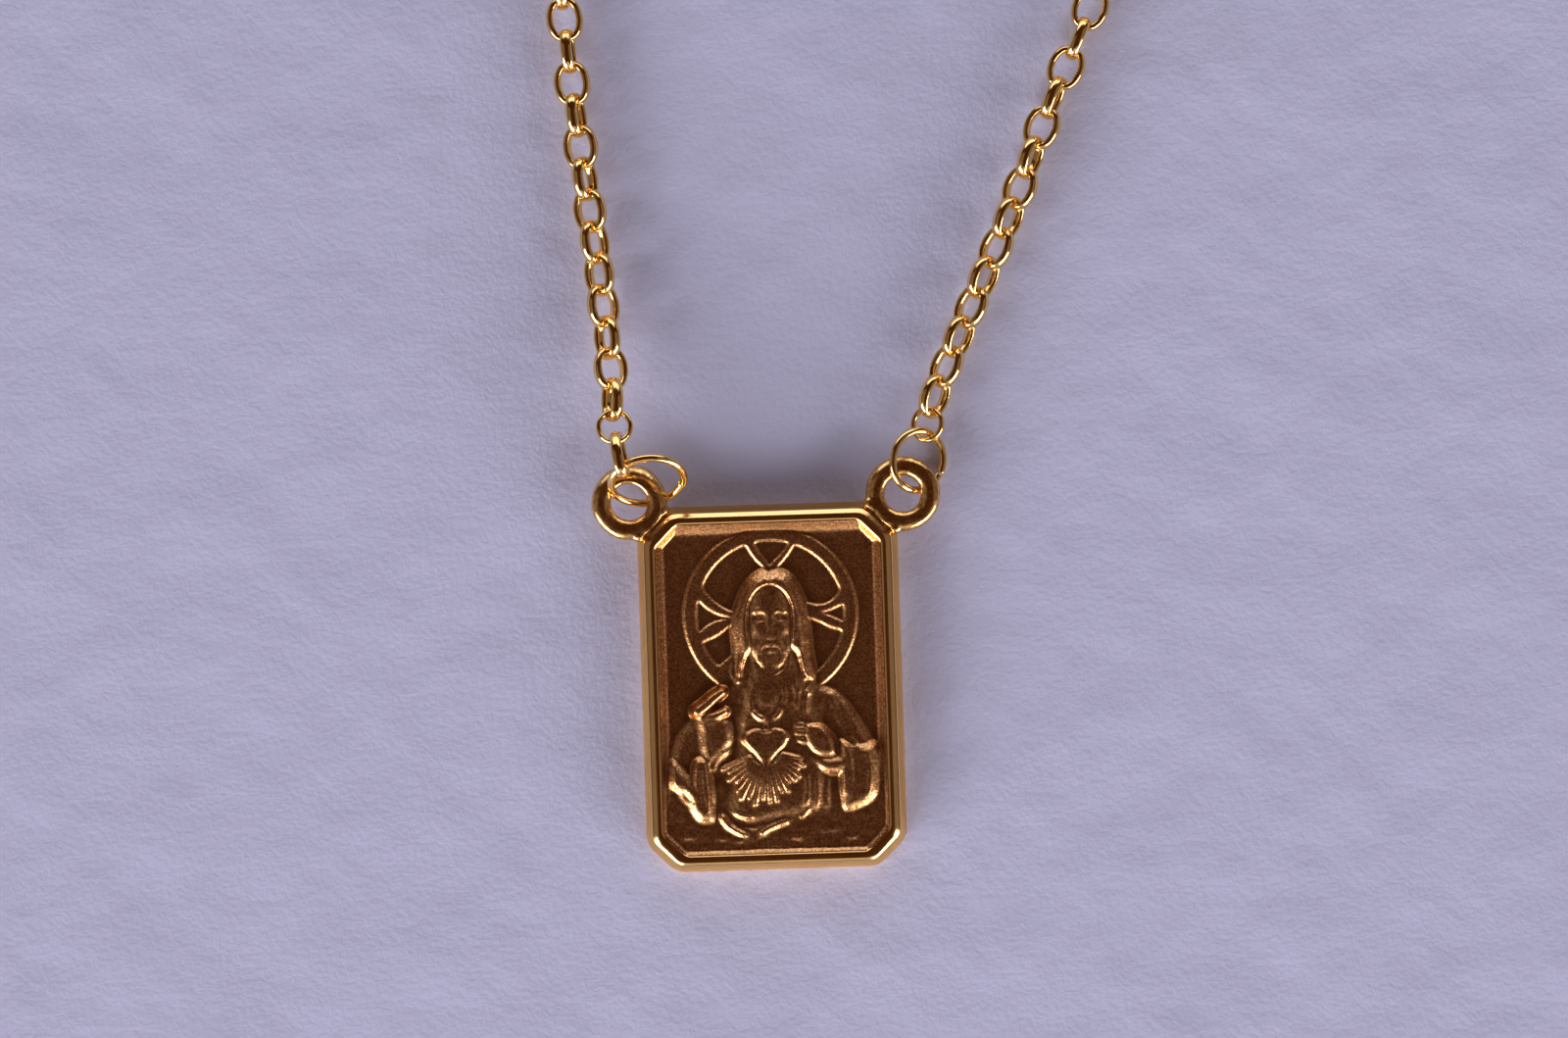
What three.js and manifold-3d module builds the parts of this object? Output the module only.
// A cast gold medal pendant with two fused ears, on its jump rings, link chain and clasp, lying face up.
// Units are millimetres. X runs across the medal, Y up the medal towards the chain, Z out of its front face.
// The origin is the centre of the medal's flat back, which lies on the surface at Z = 0.

import * as THREE from 'three';
import { mergeVertices } from 'three/addons/utils/BufferGeometryUtils.js';
import Module from 'manifold-3d';

const wasm = await Module();
wasm.setup();

// Medal plate and rim
const medalWidth = 12.2;
const medalHeight = 17.1;
const cornerCut = 1.35;
const fieldCornerCut = 0.9;
const cornerRound = 0.5;
const fieldCornerRound = 0.14;
const backRound = 0.08;
const rimHeight = 1.55;
const fieldHeight = 1.1;
const wallLean = 0.35;
const shoulderWidth = 0.25;
const shoulderDrop = 0.3;
const crestWidth = 0.2;
const rimSlope = 0.35;

// Relief on the field
const reliefRise = 0.5;
const reliefSink = 0.15;
const reliefCell = 0.3;
const nimbusLine = 0.16;
const figureTop = 0.79;
const rayLift = 0.45;

// Ears at the top corners
const earHoleRadius = 0.84;
const earBand = 0.92;
const earThickness = 0.72;
const earMidHeight = 1.08;
const earOut = 0.28;
const earUp = 0.3;
const solderRadius = 0.36;
const solderSpread = 0.94;

// Jump rings
const ringWire = 0.3;
const leftRingDiameter = 3.77;
const rightRingDiameter = 3.17;
const ringClearance = 0.045;
const ringCutGap = 0.09;

// Chain links
const linkLength = 2.13;
const linkWidth = 1.74;
const linkWire = 0.27;
const linkBand = 0.54;
const endLinkLength = 2.29;
const endRingDiameter = 1.75;
const endRingWire = 0.2;
const endRingBand = 0.3;
const linkNip = 0.09;
const leftShownLinks = 14;
const rightShownLinks = 15;

// Hidden stretch of chain and clasp
const tubeSides = 8;
const tubeSteps = 38;
const claspDiameter = 5.6;
const claspWire = 1.1;
const claspEyeDiameter = 2.4;
const claspEyeWire = 0.6;
const pieceClearance = 0.3;

// Sizes that follow
const rimWidth = wallLean + shoulderWidth + crestWidth + rimSlope;
const fieldHalfWidth = medalWidth / 2 - rimWidth;
const fieldHalfHeight = medalHeight / 2 - rimWidth;
const chainHeight = linkWidth / 2;
const earMiddleRadius = earHoleRadius + earBand / 2;

// Where the clasp lies, and how far from its middle each strand ends
const claspAcross = 10;
const claspUp = 198;
const claspReach = claspDiameter / 2 + claspEyeDiameter - (claspWire + claspEyeWire) / 4 + pieceClearance;

// The jump rings. Each passes the hole of its ear at the hole angle of its own circle, off the hole's middle by
// shares of the room that its wire has there, and holds its strand at the hold angle. Angles are in degrees.
const leftRing = {
  name: 'jump_ring_left', side: -1, diameter: leftRingDiameter, azimuth: 7.9, tilt: 51.7, spring: -0.16,
  cutAngle: 338, off: [-0.619, 0.222], holeAngle: 216.61, holdAngle: 132.67
};
const rightRing = {
  name: 'jump_ring_right', side: 1, diameter: rightRingDiameter, azimuth: 77.7, tilt: 33.5, spring: -0.05,
  cutAngle: 253, off: [0.397, 0.291], holeAngle: 169.38, holdAngle: -8.19
};

// Routes of the two strands, from the jump ring round the neck to the clasp: steps across and up from the first
// link's centre, and the height as a share of that link's height over the rest of the chain.
const leftRoute = [
  [0, 0, 1], [-0.21, 1.4, 0.725], [-0.28, 2.77, 0.473], [-0.32, 4.22, 0.253], [-0.46, 5.67, 0.088],
  [-0.73, 8.57, 0], [-1.24, 12.97, 0], [-1.73, 17.67, 0], [-2.13, 21.97, 0], [-6.78, 50.97, 0],
  [-17.78, 81.97, 0], [-27.28, 113.97, 0], [-26.78, 146.97, 0], [-13.28, 172.97, 0], [3.72, 185.97, 0]
];
const rightRoute = [
  [0, 0, 1], [0.4, 1.35, 0], [1.71, 4.31, 0], [2.99, 7.1, 0], [4.26, 9.9, 0], [5.85, 13.85, 0], [7.1, 16.65, 0],
  [8.75, 20.35, 0], [20.35, 45.95, 0], [33.85, 74.95, 0], [43.85, 105.95, 0], [43.85, 139.95, 0],
  [31.35, 169.95, 0], [15.35, 184.45, 0]
];

const castGold = new THREE.MeshStandardMaterial({ color: 0xc9983f, roughness: 0.32, metalness: 1 });
const wireGold = new THREE.MeshStandardMaterial({ color: 0xd9aa55, roughness: 0.16, metalness: 1 });
const chainGold = new THREE.MeshStandardMaterial({ color: 0xd4a34c, roughness: 0.2, metalness: 1 });

/** Turns closed three.js geometry into a solid that can be joined and cut. */
function solidOf(geometry) {
  const bare = geometry.clone();
  bare.deleteAttribute('normal');
  bare.deleteAttribute('uv');
  const merged = mergeVertices(bare, 1e-4);
  const corners = merged.index.array;
  const whole = [];
  for (let i = 0; i < corners.length; i += 3) {
    const [a, b, c] = [corners[i], corners[i + 1], corners[i + 2]];
    if (a !== b && b !== c && c !== a) whole.push(a, b, c);
  }
  const vertProperties = Float32Array.from(merged.attributes.position.array);
  return new wasm.Manifold(new wasm.Mesh({ numProp: 3, vertProperties, triVerts: Uint32Array.from(whole) }));
}

/** Gives a joined solid back as geometry for a mesh. */
function geometryOf(solid) {
  const mesh = solid.getMesh();
  const geometry = new THREE.BufferGeometry();
  geometry.setAttribute('position', new THREE.BufferAttribute(mesh.vertProperties, 3));
  geometry.setIndex(new THREE.BufferAttribute(mesh.triVerts, 1));
  geometry.computeVertexNormals();
  return geometry;
}

/** Joins solids one after another into one. */
function joined(solids) {
  return solids.reduce((whole, next) => whole.add(next));
}

/** A closed ring of the given section, turned about Z. */
function turnedRing(section, segments, start = 0) {
  return new THREE.LatheGeometry(section, segments, start).rotateX(Math.PI / 2);
}

/** Points of an oval wire section, listed anticlockwise and closed on itself. */
function ovalSection(middleRadius, halfAcross, halfAlong, sides) {
  const points = [];
  for (let i = 0; i <= sides; i += 1) {
    const angle = (i % sides) / sides * 2 * Math.PI;
    points.push(new THREE.Vector2(middleRadius + halfAcross * Math.cos(angle), halfAlong * Math.sin(angle)));
  }
  return points;
}

/** The medal's chamfered outline, moved in by an inset, at a height. */
function outlineRing(inset, height) {
  const x = medalWidth / 2 - inset;
  const y = medalHeight / 2 - inset;
  const cut = THREE.MathUtils.lerp(cornerCut, fieldCornerCut, inset / rimWidth);
  const round = THREE.MathUtils.lerp(cornerRound, fieldCornerRound, inset / rimWidth);
  const corners = [
    [x, -y + cut], [x, y - cut], [x - cut, y], [-x + cut, y],
    [-x, y - cut], [-x, -y + cut], [-x + cut, -y], [x - cut, -y]
  ].map(([cx, cy]) => new THREE.Vector2(cx, cy));
  const outline = new THREE.Shape();
  corners.forEach((corner, i) => {
    const before = corners.at(i - 1).clone().sub(corner).setLength(round).add(corner);
    const after = corners[(i + 1) % corners.length].clone().sub(corner).setLength(round).add(corner);
    if (i === 0) outline.moveTo(before.x, before.y);
    else outline.lineTo(before.x, before.y);
    outline.quadraticCurveTo(corner.x, corner.y, after.x, after.y);
  });
  return outline.getPoints(2).map((point) => new THREE.Vector3(point.x, point.y, height));
}

/** Lofts a stack of equal rings into one closed solid with flat ends. */
function loftedRings(rings) {
  const count = rings[0].length;
  const index = [];
  for (let level = 0; level + 1 < rings.length; level += 1) {
    for (let i = 0; i < count; i += 1) {
      const low = level * count;
      const high = low + count;
      const next = (i + 1) % count;
      index.push(low + i, low + next, high + next, low + i, high + next, high + i);
    }
  }
  const top = (rings.length - 1) * count;
  for (let i = 1; i + 1 < count; i += 1) {
    index.push(0, i + 1, i);
    index.push(top, top + i, top + i + 1);
  }
  const geometry = new THREE.BufferGeometry().setFromPoints(rings.flat());
  geometry.setIndex(index);
  return geometry;
}

/** The plate: leaning outer wall, rounded shoulder, flat crest, inner slope and sunk field. */
function plateSolid() {
  const shoulderTurns = [0, 30, 60, 90].map(THREE.MathUtils.degToRad);
  const shoulder = shoulderTurns.map((turn) => [
    wallLean + shoulderWidth * (1 - Math.cos(turn)),
    rimHeight - shoulderDrop * (1 - Math.sin(turn))
  ]);
  const stations = [
    [backRound, 0],
    [0, backRound],
    ...shoulder,
    [rimWidth - rimSlope, rimHeight],
    [rimWidth, fieldHeight]
  ];
  return solidOf(loftedRings(stations.map(([inset, height]) => outlineRing(inset, height))));
}

/** Place of an ear's centre, on the side -1 or 1. */
function earCentre(side) {
  return new THREE.Vector3(side * (medalWidth / 2 + earOut), medalHeight / 2 + earUp, earMidHeight);
}

/** One ear with the solder that joins it to the cut corner. */
function earSolid(side) {
  const centre = earCentre(side);
  const ear = turnedRing(ovalSection(earMiddleRadius, earBand / 2, earThickness / 2, 8), 24);
  ear.translate(centre.x, centre.y, centre.z);
  const cornerMiddle = new THREE.Vector3(
    side * (medalWidth / 2 - cornerCut / 2), medalHeight / 2 - cornerCut / 2, earMidHeight);
  const along = new THREE.Vector2(1, -side).normalize();
  const seams = [-solderSpread, solderSpread].map((reach) => {
    const solder = new THREE.SphereGeometry(solderRadius, 8, 6).scale(1, 1, earThickness / 2 / solderRadius);
    return solidOf(solder.translate(cornerMiddle.x + along.x * reach, cornerMiddle.y + along.y * reach, earMidHeight));
  });
  return joined([solidOf(ear), ...seams]);
}

// Round masses of the figure. Places and half sizes are shares of the field's half size, and rise of the relief's.
const figureMasses = [
  { part: 'hair', across: 0.01, up: 0.41, wide: 0.385, tall: 0.345, turn: 0, rise: 0.55, fullness: 2.5 },
  { part: 'brow and cheeks', across: 0, up: 0.385, wide: 0.21, tall: 0.225, turn: 0, rise: 0.92, fullness: 2 },
  { part: 'beard', across: 0, up: 0.16, wide: 0.18, tall: 0.12, turn: 0, rise: 0.9, fullness: 2 },
  { part: 'nose', across: 0, up: 0.35, wide: 0.07, tall: 0.08, turn: 0, rise: 1.15, fullness: 2 },
  { part: 'throat', across: -0.05, up: -0.09, wide: 0.17, tall: 0.14, turn: 0, rise: 0.62, fullness: 2 },
  { part: 'chest', across: -0.02, up: -0.46, wide: 0.66, tall: 0.48, turn: 0, rise: 0.42, fullness: 3 },
  { part: 'left shoulder', across: -0.36, up: -0.24, wide: 0.34, tall: 0.25, turn: 12, rise: 0.4, fullness: 2.2 },
  { part: 'right shoulder', across: 0.44, up: -0.27, wide: 0.45, tall: 0.26, turn: -28, rise: 0.42, fullness: 2.4 },
  { part: 'left mantle', across: -0.78, up: -0.6, wide: 0.27, tall: 0.27, turn: 14, rise: 0.45, fullness: 2.2 },
  { part: 'right mantle', across: 0.8, up: -0.575, wide: 0.25, tall: 0.25, turn: -8, rise: 0.5, fullness: 2.6 },
  { part: 'tunic hem', across: -0.08, up: -0.84, wide: 0.48, tall: 0.12, turn: 4, rise: 0.34, fullness: 2.2 },
  { part: 'cloud', across: 0, up: -1, wide: 0.95, tall: 0.08, turn: 0, rise: 0.18, fullness: 4 }
];

// Limbs and sleeves, from one end to the other, with half widths as shares of the field's half width.
const figureLimbs = [
  { part: 'raised sleeve', from: [-0.71, -0.5], to: [-0.67, -0.79], wideFrom: 0.15, wideTo: 0.13, rise: 0.72 },
  { part: 'raised forearm', from: [-0.63, -0.42], to: [-0.61, -0.2], wideFrom: 0.16, wideTo: 0.13, rise: 0.78 },
  { part: 'raised palm', from: [-0.64, -0.15], to: [-0.53, -0.12], wideFrom: 0.15, wideTo: 0.12, rise: 0.88 },
  { part: 'lower sleeve', from: [0.71, -0.42], to: [0.68, -0.73], wideFrom: 0.17, wideTo: 0.13, rise: 0.7 },
  { part: 'lower forearm', from: [0.72, -0.46], to: [0.53, -0.36], wideFrom: 0.17, wideTo: 0.15, rise: 0.78 },
  { part: 'pointing hand', from: [0.5, -0.34], to: [0.36, -0.3], wideFrom: 0.17, wideTo: 0.13, rise: 0.9 }
];

/** Height of a domed mass at a share of its half size, with a steep round edge, below the field outside it. */
function domeHeight(reach, rise) {
  const edge = 0.45;
  const inward = (1 - reach) / edge;
  const share = inward < 1 ? 2 * inward - Math.max(inward, 0) ** 2 : 1;
  return Math.max(rise * reliefRise * share, -reliefSink);
}

/** Height of the figure over the field at a place given as shares of the field's half size. */
function figureHeight(across, up) {
  const slant = fieldHalfHeight / fieldHalfWidth;
  const masses = figureMasses.map((mass) => {
    const turn = THREE.MathUtils.degToRad(mass.turn);
    const dx = across - mass.across;
    const dy = (up - mass.up) * slant;
    const u = Math.abs(dx * Math.cos(turn) + dy * Math.sin(turn)) / mass.wide;
    const v = Math.abs(dy * Math.cos(turn) - dx * Math.sin(turn)) / (mass.tall * slant);
    return domeHeight(Math.pow(u ** mass.fullness + v ** mass.fullness, 1 / mass.fullness), mass.rise);
  });
  const limbs = figureLimbs.map((limb) => {
    const start = new THREE.Vector2(limb.from[0], limb.from[1] * slant);
    const run = new THREE.Vector2(limb.to[0], limb.to[1] * slant).sub(start);
    const here = new THREE.Vector2(across, up * slant).sub(start);
    const share = THREE.MathUtils.clamp(here.dot(run) / run.lengthSq(), 0, 1);
    const gap = here.distanceTo(run.multiplyScalar(share));
    return domeHeight(gap / THREE.MathUtils.lerp(limb.wideFrom, limb.wideTo, share), limb.rise);
  });
  return Math.max(...masses, ...limbs);
}

/** The figure as one block whose top follows its heights and sinks below the bare field. */
function figureSolid() {
  const underRim = rimSlope / 2;
  const width = 2 * (fieldHalfWidth + underRim);
  const top = fieldHalfHeight * figureTop;
  const height = top + fieldHalfHeight + underRim;
  const depth = 4 * reliefSink;
  const columns = Math.round(width / reliefCell);
  const rows = Math.round(height / reliefCell);
  const block = new THREE.BoxGeometry(width, height, depth, columns, rows, 1);
  block.translate(0, top - height / 2, 0);
  const position = block.attributes.position;
  for (let i = 0; i < position.count; i += 1) {
    if (position.getZ(i) < 0) continue;
    position.setZ(i, figureHeight(position.getX(i) / fieldHalfWidth, position.getY(i) / fieldHalfHeight));
  }
  block.translate(0, 0, fieldHeight);
  return solidOf(block);
}

/** A raised line on the field through points given as shares of the field's half size. */
function raisedLine(points, halfWidth, height, steps) {
  const path = new THREE.CatmullRomCurve3(
    points.map(([across, up]) => new THREE.Vector3(across * fieldHalfWidth, up * fieldHalfHeight, fieldHeight)));
  const section = new THREE.Shape();
  section.moveTo(halfWidth, 0);
  section.lineTo(0, height);
  section.lineTo(-halfWidth, 0);
  section.lineTo(0, -height);
  section.closePath();
  return solidOf(new THREE.ExtrudeGeometry(section, { steps, extrudePath: path }));
}

/** The nimbus: two raised circles and the outlined arms of a cross between them and the hair. */
function nimbusSolids() {
  const centreUp = 0.462 * fieldHalfHeight;
  const circles = [0.697, 0.818].map((share) => {
    const section = ovalSection(share * fieldHalfWidth, nimbusLine / 2, nimbusLine / 2, 4);
    return solidOf(turnedRing(section, 48).translate(0, centreUp, fieldHeight));
  });
  const armLines = [
    [[-0.26, 0.89], [-0.16, 0.86], [-0.06, 0.77]],
    [[-0.12, 0.91], [-0.07, 0.86], [-0.02, 0.8]],
    [[0.21, 0.91], [0.12, 0.845], [0.06, 0.8]],
    [[0.28, 0.89], [0.18, 0.84], [0.11, 0.775]],
    [[-0.6, 0.63], [-0.48, 0.54], [-0.36, 0.487]],
    [[-0.68, 0.59], [-0.55, 0.49], [-0.36, 0.45]],
    [[-0.67, 0.35], [-0.59, 0.405], [-0.36, 0.438]],
    [[-0.66, 0.305], [-0.53, 0.365], [-0.36, 0.4]],
    [[0.65, 0.58], [0.49, 0.5], [0.34, 0.53]],
    [[0.66, 0.5], [0.48, 0.462], [0.34, 0.462]],
    [[0.66, 0.405], [0.53, 0.45], [0.34, 0.45]],
    [[0.65, 0.355], [0.5, 0.4], [0.34, 0.42]]
  ];
  return [...circles, ...armLines.map((points) => raisedLine(points, nimbusLine / 2, nimbusLine / 2, 2))];
}

/** The heart on the breast, with its rays. */
function heartSolids() {
  const centre = new THREE.Vector3(-0.07 * fieldHalfWidth, -0.46 * fieldHalfHeight, fieldHeight);
  const halfWidth = 0.25 * fieldHalfWidth;
  const drop = 0.085 * fieldHalfHeight;
  const lobe = 0.22 * fieldHalfHeight;
  const outline = new THREE.Shape();
  outline.moveTo(0, -drop);
  outline.bezierCurveTo(-halfWidth * 0.3, drop * 0.4, -halfWidth, lobe * 0.45, -halfWidth, lobe * 0.75);
  outline.bezierCurveTo(-halfWidth, lobe * 1.1, -halfWidth * 0.2, lobe * 1.15, 0, lobe * 0.86);
  outline.bezierCurveTo(halfWidth * 0.2, lobe * 1.15, halfWidth, lobe * 1.1, halfWidth, lobe * 0.75);
  outline.bezierCurveTo(halfWidth, lobe * 0.45, halfWidth * 0.3, drop * 0.4, 0, -drop);
  const edge = 0.12;
  const heart = new THREE.ExtrudeGeometry(outline, {
    depth: reliefRise, curveSegments: 5,
    bevelEnabled: true, bevelThickness: edge, bevelSize: edge, bevelOffset: -edge, bevelSegments: 2
  });
  const rayCount = 18;
  const firstRay = THREE.MathUtils.degToRad(202);
  const raySweep = THREE.MathUtils.degToRad(138);
  const rayLength = 0.5 * fieldHalfWidth;
  const rayStart = 0.06 * fieldHalfHeight;
  const rays = [];
  for (let i = 0; i < rayCount; i += 1) {
    const angle = firstRay + raySweep * i / (rayCount - 1);
    const ray = new THREE.ConeGeometry(nimbusLine, rayLength, 5);
    ray.scale(1, 1, 1.4).translate(0, -rayLength / 2, 0).rotateZ(angle + Math.PI / 2);
    rays.push(solidOf(ray.translate(centre.x, centre.y + rayStart, centre.z + reliefRise * rayLift)));
  }
  return [solidOf(heart.translate(centre.x, centre.y, centre.z)), ...rays];
}

// Fingers, from knuckle to tip, as shares of the field's half size. Rise is of the knuckle over the field.
const fingers = [
  { part: 'raised index', from: [-0.6, -0.1], to: [-0.45, -0.015], rise: 0.7 },
  { part: 'raised middle', from: [-0.64, -0.11], to: [-0.5, -0.03], rise: 0.75 },
  { part: 'folded ring', from: [-0.62, -0.19], to: [-0.43, -0.145], rise: 0.7 },
  { part: 'thumb', from: [-0.58, -0.14], to: [-0.42, -0.085], rise: 0.85 },
  { part: 'pointing index', from: [0.4, -0.25], to: [0.26, -0.215], rise: 0.8 },
  { part: 'pointing middle', from: [0.4, -0.29], to: [0.25, -0.265], rise: 0.8 },
  { part: 'pointing ring', from: [0.4, -0.33], to: [0.25, -0.32], rise: 0.75 },
  { part: 'pointing little', from: [0.42, -0.37], to: [0.27, -0.375], rise: 0.65 }
];

/** The fingers of both hands, as round-ended rods lying on the relief. */
function fingerSolids() {
  const radius = nimbusLine;
  return fingers.map(({ from, to, rise }) => {
    const start = new THREE.Vector2(from[0] * fieldHalfWidth, from[1] * fieldHalfHeight);
    const run = new THREE.Vector2(to[0] * fieldHalfWidth, to[1] * fieldHalfHeight).sub(start);
    const rod = new THREE.CapsuleGeometry(radius, run.length(), 2, 6);
    rod.rotateZ(run.angle() - Math.PI / 2);
    return solidOf(rod.translate(start.x + run.x / 2, start.y + run.y / 2, fieldHeight + rise * reliefRise - radius));
  });
}

/** The whole medal as one solid. */
function medalGeometry() {
  return geometryOf(joined([
    plateSolid(), figureSolid(), ...nimbusSolids(), ...heartSolids(), ...fingerSolids(), earSolid(-1), earSolid(1)
  ]));
}

/** The open line of a sprung wire ring, its cut ends set a little apart. */
class SprungRing extends THREE.Curve {
  constructor({ radius, spring, cutAngle, cutGap }) {
    super();
    Object.assign(this, { radius, spring, cutAngle, cutGap });
  }

  getPoint(t, target = new THREE.Vector3()) {
    const gapTurn = this.cutGap / this.radius;
    const angle = this.cutAngle + gapTurn / 2 + t * (2 * Math.PI - gapTurn);
    return target.set(this.radius * Math.cos(angle), this.radius * Math.sin(angle), this.spring * (t - 0.5));
  }
}

/** How a jump ring's plane is turned. */
function ringTurn({ azimuth, tilt }) {
  return new THREE.Euler(THREE.MathUtils.degToRad(tilt), 0, THREE.MathUtils.degToRad(azimuth), 'ZYX');
}

/** A step outward in a jump ring's own plane, at an angle of its circle. */
function ringStep(ring, angle, length) {
  return new THREE.Vector3(length, 0, 0)
    .applyAxisAngle(new THREE.Vector3(0, 0, 1), THREE.MathUtils.degToRad(angle)).applyEuler(ringTurn(ring));
}

/** The middle of a jump ring, found from where its wire passes the hole of its ear. */
function ringCentre(ring) {
  const room = earHoleRadius - ringWire / 2 - ringClearance;
  const passing = earCentre(ring.side).add(new THREE.Vector3(...ring.off, 0).multiplyScalar(room));
  return passing.sub(ringStep(ring, ring.holeAngle, (ring.diameter - ringWire) / 2));
}

/** A jump ring in its place. */
function jumpRing(ring) {
  const line = new SprungRing({
    radius: (ring.diameter - ringWire) / 2, spring: ring.spring,
    cutGap: ringCutGap, cutAngle: THREE.MathUtils.degToRad(ring.cutAngle)
  });
  const section = new THREE.Shape().absarc(0, 0, ringWire / 2, 0, 2 * Math.PI, false);
  const wire = new THREE.ExtrudeGeometry(section, { steps: 24, curveSegments: 3, extrudePath: line });
  const mesh = piece(ring.name, wire, wireGold);
  mesh.rotation.copy(ringTurn(ring));
  mesh.position.copy(ringCentre(ring));
  return mesh;
}

/** An oval link in the XY plane, its length on X, made of half-round band. */
function linkGeometry({ length, width, wire, band }) {
  const outer = width / 2;
  const segments = 10;
  const flank = outer - 0.45 * wire;
  const flat = 0.36 * band;
  const section = [
    [outer, 0], [flank, band / 2], [outer - wire, flat], [outer - wire, -flat], [flank, -band / 2], [outer, 0]
  ].map(([x, y]) => new THREE.Vector2(x, y));
  const link = turnedRing(section, segments, Math.PI / 2);
  const stretch = (length - width) / 2;
  const position = link.attributes.position;
  for (let i = 0; i < position.count; i += 1) {
    position.setX(i, position.getX(i) + Math.sign(position.getX(i)) * stretch);
  }
  return link;
}

const plainLink = { length: linkLength, width: linkWidth, wire: linkWire, band: linkBand };
const longLink = { ...plainLink, length: endLinkLength };
const roundLink = { length: endRingDiameter, width: endRingDiameter, wire: endRingWire, band: endRingBand };

/** Puts a link on a curve at a distance along it, rolled about the curve. */
function placedLink(form, curve, distance, roll) {
  const share = distance / curve.getLength();
  const along = curve.getTangentAt(share);
  const sideways = new THREE.Vector3(-along.y, along.x, 0).normalize();
  const across = sideways.applyAxisAngle(along, THREE.MathUtils.degToRad(roll));
  const normal = along.clone().cross(across);
  const place = new THREE.Matrix4().makeBasis(along, across, normal).setPosition(curve.getPointAt(share));
  return solidOf(linkGeometry(form).applyMatrix4(place));
}

/** The curve of a strand. Its first link hangs in its jump ring, off the hold by the seat, and points along the lead. */
function strandCurve({ ring, seat, lead, endForms, route }) {
  const hold = ringCentre(ring).add(ringStep(ring, ring.holdAngle, ring.diameter / 2 - ringWire));
  const reach = endForms[0].length / 2 - endForms[0].wire;
  const first = new THREE.Vector3(...lead).setLength(reach).add(hold).add(new THREE.Vector3(...seat));
  const points = route.map(([across, up, share]) => new THREE.Vector3(
    first.x + across, first.y + up, THREE.MathUtils.lerp(chainHeight, first.z, share)));
  points.push(new THREE.Vector3(claspAcross + ring.side * claspReach, claspUp, chainHeight));
  const curve = new THREE.CatmullRomCurve3(points, false, 'centripetal');
  curve.arcLengthDivisions = 2000;
  return curve;
}

/** The roll of a plain link by its number, between the rolls that the table gives as numbers and degrees. */
function rollAt(rolls, number) {
  const next = rolls.findIndex(([at]) => at >= number);
  if (next < 1) return rolls[next < 0 ? rolls.length - 1 : 0][1];
  const [[low, from], [high, to]] = [rolls[next - 1], rolls[next]];
  return THREE.MathUtils.lerp(from, to, (number - low) / (high - low));
}

/** The seen links of a strand, fused where each rests in the next, and the distance at which they end. */
function shownStrand(curve, { links: plainCount, endForms, endRolls, rolls }) {
  const forms = [...endForms, ...Array(plainCount).fill(plainLink)];
  let distance = 0;
  const links = forms.map((form, i) => {
    const previous = forms[i - 1];
    if (previous) distance += previous.length / 2 - previous.wire + form.length / 2 - form.wire - linkNip;
    const number = i - endForms.length;
    const roll = number < 0 ? endRolls[i] : rollAt(rolls, number) + 90 * (number % 2);
    return placedLink(form, curve, distance, roll);
  });
  return { geometry: geometryOf(joined(links)), end: distance + linkLength / 2 };
}

/** The hidden stretch of a strand as a plain round tube along the rest of its curve. */
function hiddenStrand(curve, start) {
  const length = curve.getLength();
  const from = (start + pieceClearance) / length;
  const bends = 16;
  const points = [];
  for (let i = 0; i <= bends; i += 1) points.push(curve.getPointAt(THREE.MathUtils.lerp(from, 1, i / bends)));
  const section = new THREE.Shape();
  for (let i = 0; i < tubeSides; i += 1) {
    const angle = (i + 0.5) / tubeSides * 2 * Math.PI;
    const reach = linkWidth / 2 / Math.cos(Math.PI / tubeSides);
    if (i === 0) section.moveTo(reach * Math.cos(angle), reach * Math.sin(angle));
    else section.lineTo(reach * Math.cos(angle), reach * Math.sin(angle));
  }
  section.closePath();
  return new THREE.ExtrudeGeometry(section, { steps: tubeSteps, extrudePath: new THREE.CatmullRomCurve3(points) });
}

/** A named mesh. */
function piece(name, geometry, material) {
  const mesh = new THREE.Mesh(geometry, material);
  mesh.name = name;
  return mesh;
}

/** The ring clasp between the two strands' ends, lying on the surface, with an eye on each side. */
function claspGeometry() {
  const ring = turnedRing(ovalSection((claspDiameter - claspWire) / 2, claspWire / 2, claspWire / 2, 6), 20);
  const eyes = [-1, 1].map((side) => {
    const eye = turnedRing(
      ovalSection((claspEyeDiameter - claspEyeWire) / 2, claspEyeWire / 2, claspEyeWire / 2, 5), 12);
    const reach = claspReach - pieceClearance - claspEyeDiameter / 2;
    return solidOf(eye.translate(side * reach, 0, 0));
  });
  return geometryOf(joined([solidOf(ring), ...eyes])).translate(claspAcross, claspUp, claspWire / 2);
}

const necklace = new THREE.Group();
necklace.add(piece('medal', medalGeometry(), castGold));

const strands = [
  {
    name: 'chain_left', ring: leftRing, seat: [0.052, -0.174, 0.104], lead: [-0.138, 0.933, -0.332],
    route: leftRoute, links: leftShownLinks,
    endForms: [longLink, roundLink], endRolls: [84, 0], rolls: [[0, -66], [12, 0]]
  },
  {
    name: 'chain_right', ring: rightRing, seat: [-0.097, -0.181, -0.033], lead: [0.259, 0.966, 0],
    route: rightRoute, links: rightShownLinks,
    endForms: [roundLink], endRolls: [-30], rolls: [[0, 46], [6, 50], [12, 90]]
  }
];
strands.forEach((strand) => {
  const curve = strandCurve(strand);
  const shown = shownStrand(curve, strand);
  necklace.add(jumpRing(strand.ring));
  necklace.add(piece(`${strand.name}_front`, shown.geometry, chainGold));
  necklace.add(piece(`${strand.name}_back`, hiddenStrand(curve, shown.end), chainGold));
});
necklace.add(piece('clasp', claspGeometry(), wireGold));

export default necklace;
